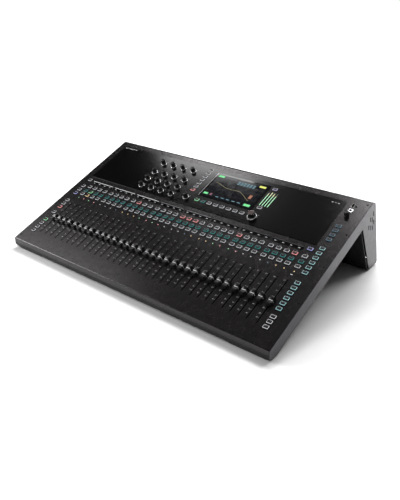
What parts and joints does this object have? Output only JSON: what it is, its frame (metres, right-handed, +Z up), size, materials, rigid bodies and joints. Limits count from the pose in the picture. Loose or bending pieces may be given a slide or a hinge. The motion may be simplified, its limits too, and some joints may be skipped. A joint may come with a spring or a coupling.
{
  "type": "mixing console",
  "caption": "Digital mixing console: a sloping surface of faders, keys, encoders and a touchscreen in a thin slab on a tapered rear socket housing.",
  "frame": {"origin": "centre of the footprint, on the surface that the console stands on", "axes": "+X to the operator's right along the width, +Y to the rear, +Z up"},
  "size_m": [0.8, 0.5093, 0.1921],
  "materials": {
    "panel_paint": "satin fine-texture powder coat, near-black",
    "cheek_paint": "satin fine-texture powder coat, dark grey",
    "chassis_paint": "matt black powder coat",
    "fascia": "semi-gloss black",
    "screen_glass": "gloss black cover glass over a lit display",
    "display_lens": "gloss black display window",
    "light_pipe": "clear light guide",
    "dark_plastic": "moulded black",
    "knob_plastic": "satin black with a fine grip",
    "fader_cap": "satin black moulded",
    "key_cap": "black cap with a light-passing edge",
    "chrome_trim": "polished",
    "socket_metal": "black-plated die casting",
    "zinc_steel": "zinc plated",
    "circuit_board": "green solder mask",
    "foot_rubber": "matt",
    "black_screw": "black oxide"
  },
  "bodies": {
    "case": {"top_panel": "panel_paint", "left_cheek": "cheek_paint", "right_cheek": "cheek_paint", "base_tray": "chassis_paint", "connector_housing": "chassis_paint", "rear_panel": "panel_paint", "control_fascia": "fascia", "touchscreen_glass": "screen_glass", "display_module": "dark_plastic", "channel_displays": "display_lens", "light_pipes": "light_pipe", "fader_tracks": "zinc_steel", "encoder_bodies": "zinc_steel", "encoder_rings": "chrome_trim", "control_board": "circuit_board", "circuit_boards": "circuit_board", "power_supply": "zinc_steel", "mic_sockets": "socket_metal", "output_sockets": "socket_metal", "line_jacks": "dark_plastic", "data_ports": "zinc_steel", "headphone_sockets": "chrome_trim", "mains_inlet": "dark_plastic", "rubber_feet": "foot_rubber", "panel_screws": "black_screw"},
    "fader_bank_1": {"fader_bank_1": "fader_cap"},
    "fader_bank_2": {"fader_bank_2": "fader_cap"},
    "fader_bank_3": {"fader_bank_3": "fader_cap"},
    "fader_bank_4": {"fader_bank_4": "fader_cap"},
    "fader_bank_5": {"fader_bank_5": "fader_cap"},
    "fader_bank_6": {"fader_bank_6": "fader_cap"},
    "fader_bank_7": {"fader_bank_7": "fader_cap"},
    "fader_bank_8": {"fader_bank_8": "fader_cap"},
    "master_fader": {"master_fader": "fader_cap"},
    "encoder_knob_01": {"encoder_knob_01": "knob_plastic"},
    "encoder_knob_02": {"encoder_knob_02": "knob_plastic"},
    "encoder_knob_03": {"encoder_knob_03": "knob_plastic"},
    "encoder_knob_04": {"encoder_knob_04": "knob_plastic"},
    "encoder_knob_05": {"encoder_knob_05": "knob_plastic"},
    "encoder_knob_06": {"encoder_knob_06": "knob_plastic"},
    "encoder_knob_07": {"encoder_knob_07": "knob_plastic"},
    "encoder_knob_08": {"encoder_knob_08": "knob_plastic"},
    "encoder_knob_09": {"encoder_knob_09": "knob_plastic"},
    "encoder_knob_10": {"encoder_knob_10": "knob_plastic"},
    "encoder_knob_11": {"encoder_knob_11": "knob_plastic"},
    "encoder_knob_12": {"encoder_knob_12": "knob_plastic"},
    "encoder_knob_13": {"encoder_knob_13": "knob_plastic"},
    "encoder_knob_14": {"encoder_knob_14": "knob_plastic"},
    "encoder_knob_15": {"encoder_knob_15": "knob_plastic"},
    "encoder_knob_16": {"encoder_knob_16": "knob_plastic"},
    "encoder_knob_17": {"encoder_knob_17": "knob_plastic"},
    "main_knob": {"main_knob": "knob_plastic"},
    "level_knob": {"level_knob": "knob_plastic"},
    "listen_keys": {"listen_keys": "key_cap"},
    "select_keys": {"select_keys": "key_cap"},
    "mute_keys": {"mute_keys": "key_cap"},
    "function_keys": {"function_keys": "key_cap"},
    "soft_keys": {"soft_keys": "key_cap"},
    "screen_keys": {"screen_keys": "key_cap"},
    "power_rocker": {"power_rocker": "dark_plastic"}
  },
  "joints": [
    {"name": "fader_bank_1_travel", "type": "slide", "parent": "case", "child": "fader_bank_1", "axis": [0, 0.9336, 0.3584], "range_m": [-0.044, 0.056]},
    {"name": "fader_bank_2_travel", "type": "slide", "parent": "case", "child": "fader_bank_2", "axis": [0, 0.9336, 0.3584], "range_m": [-0.044, 0.056]},
    {"name": "fader_bank_3_travel", "type": "slide", "parent": "case", "child": "fader_bank_3", "axis": [0, 0.9336, 0.3584], "range_m": [-0.044, 0.056]},
    {"name": "fader_bank_4_travel", "type": "slide", "parent": "case", "child": "fader_bank_4", "axis": [0, 0.9336, 0.3584], "range_m": [-0.044, 0.056]},
    {"name": "fader_bank_5_travel", "type": "slide", "parent": "case", "child": "fader_bank_5", "axis": [0, 0.9336, 0.3584], "range_m": [-0.044, 0.056]},
    {"name": "fader_bank_6_travel", "type": "slide", "parent": "case", "child": "fader_bank_6", "axis": [0, 0.9336, 0.3584], "range_m": [-0.044, 0.056]},
    {"name": "fader_bank_7_travel", "type": "slide", "parent": "case", "child": "fader_bank_7", "axis": [0, 0.9336, 0.3584], "range_m": [-0.044, 0.056]},
    {"name": "fader_bank_8_travel", "type": "slide", "parent": "case", "child": "fader_bank_8", "axis": [0, 0.9336, 0.3584], "range_m": [-0.044, 0.056]},
    {"name": "master_fader_travel", "type": "slide", "parent": "case", "child": "master_fader", "axis": [0, 0.9336, 0.3584], "range_m": [-0.044, 0.056]},
    {"name": "encoder_knob_01_turn", "type": "hinge", "parent": "case", "child": "encoder_knob_01", "pos_m": [-0.199, 0.12582, 0.17603], "axis": [0, -0.3584, 0.9336], "continuous": true},
    {"name": "encoder_knob_02_turn", "type": "hinge", "parent": "case", "child": "encoder_knob_02", "pos_m": [-0.163, 0.12582, 0.17603], "axis": [0, -0.3584, 0.9336], "continuous": true},
    {"name": "encoder_knob_03_turn", "type": "hinge", "parent": "case", "child": "encoder_knob_03", "pos_m": [-0.128, 0.12582, 0.17603], "axis": [0, -0.3584, 0.9336], "continuous": true},
    {"name": "encoder_knob_04_turn", "type": "hinge", "parent": "case", "child": "encoder_knob_04", "pos_m": [-0.092, 0.12582, 0.17603], "axis": [0, -0.3584, 0.9336], "continuous": true},
    {"name": "encoder_knob_05_turn", "type": "hinge", "parent": "case", "child": "encoder_knob_05", "pos_m": [-0.199, 0.08754, 0.16134], "axis": [0, -0.3584, 0.9336], "continuous": true},
    {"name": "encoder_knob_06_turn", "type": "hinge", "parent": "case", "child": "encoder_knob_06", "pos_m": [-0.163, 0.08754, 0.16134], "axis": [0, -0.3584, 0.9336], "continuous": true},
    {"name": "encoder_knob_07_turn", "type": "hinge", "parent": "case", "child": "encoder_knob_07", "pos_m": [-0.128, 0.08754, 0.16134], "axis": [0, -0.3584, 0.9336], "continuous": true},
    {"name": "encoder_knob_08_turn", "type": "hinge", "parent": "case", "child": "encoder_knob_08", "pos_m": [-0.092, 0.08754, 0.16134], "axis": [0, -0.3584, 0.9336], "continuous": true},
    {"name": "encoder_knob_09_turn", "type": "hinge", "parent": "case", "child": "encoder_knob_09", "pos_m": [-0.199, 0.0586, 0.15023], "axis": [0, -0.3584, 0.9336], "continuous": true},
    {"name": "encoder_knob_10_turn", "type": "hinge", "parent": "case", "child": "encoder_knob_10", "pos_m": [-0.163, 0.0586, 0.15023], "axis": [0, -0.3584, 0.9336], "continuous": true},
    {"name": "encoder_knob_11_turn", "type": "hinge", "parent": "case", "child": "encoder_knob_11", "pos_m": [-0.128, 0.0586, 0.15023], "axis": [0, -0.3584, 0.9336], "continuous": true},
    {"name": "encoder_knob_12_turn", "type": "hinge", "parent": "case", "child": "encoder_knob_12", "pos_m": [-0.092, 0.0586, 0.15023], "axis": [0, -0.3584, 0.9336], "continuous": true},
    {"name": "encoder_knob_13_turn", "type": "hinge", "parent": "case", "child": "encoder_knob_13", "pos_m": [-0.199, 0.03152, 0.13984], "axis": [0, -0.3584, 0.9336], "continuous": true},
    {"name": "encoder_knob_14_turn", "type": "hinge", "parent": "case", "child": "encoder_knob_14", "pos_m": [-0.163, 0.03152, 0.13984], "axis": [0, -0.3584, 0.9336], "continuous": true},
    {"name": "encoder_knob_15_turn", "type": "hinge", "parent": "case", "child": "encoder_knob_15", "pos_m": [-0.128, 0.03152, 0.13984], "axis": [0, -0.3584, 0.9336], "continuous": true},
    {"name": "encoder_knob_16_turn", "type": "hinge", "parent": "case", "child": "encoder_knob_16", "pos_m": [-0.092, 0.03152, 0.13984], "axis": [0, -0.3584, 0.9336], "continuous": true},
    {"name": "encoder_knob_17_turn", "type": "hinge", "parent": "case", "child": "encoder_knob_17", "pos_m": [-0.0445, 0.03572, 0.14145], "axis": [0, -0.3584, 0.9336], "continuous": true},
    {"name": "main_knob_turn", "type": "hinge", "parent": "case", "child": "main_knob", "pos_m": [0.161, 0.03479, 0.14109], "axis": [0, -0.3584, 0.9336], "continuous": true},
    {"name": "level_knob_turn", "type": "hinge", "parent": "case", "child": "level_knob", "pos_m": [0.364, 0.11411, 0.17025], "axis": [0, -0.3584, 0.9336], "range_deg": [-150, 150]},
    {"name": "listen_keys_press", "type": "slide", "parent": "case", "child": "listen_keys", "axis": [0, -0.3584, 0.9336], "range_m": [-0.001, 0], "stiffness_N_per_m": 3000, "springref_m": 0.0005},
    {"name": "select_keys_press", "type": "slide", "parent": "case", "child": "select_keys", "axis": [0, -0.3584, 0.9336], "range_m": [-0.001, 0], "stiffness_N_per_m": 3000, "springref_m": 0.0005},
    {"name": "mute_keys_press", "type": "slide", "parent": "case", "child": "mute_keys", "axis": [0, -0.3584, 0.9336], "range_m": [-0.001, 0], "stiffness_N_per_m": 3000, "springref_m": 0.0005},
    {"name": "function_keys_press", "type": "slide", "parent": "case", "child": "function_keys", "axis": [0, -0.3584, 0.9336], "range_m": [-0.001, 0], "stiffness_N_per_m": 1200, "springref_m": 0.0005},
    {"name": "soft_keys_press", "type": "slide", "parent": "case", "child": "soft_keys", "axis": [0, -0.3584, 0.9336], "range_m": [-0.001, 0], "stiffness_N_per_m": 2000, "springref_m": 0.0005},
    {"name": "screen_keys_press", "type": "slide", "parent": "case", "child": "screen_keys", "axis": [0, -0.3584, 0.9336], "range_m": [-0.001, 0], "stiffness_N_per_m": 1700, "springref_m": 0.0005},
    {"name": "power_rocker_tilt", "type": "hinge", "parent": "case", "child": "power_rocker", "pos_m": [0.285, 0.23372, 0.06514], "axis": [1, 0, 0], "range_deg": [0, 14]}
  ]
}
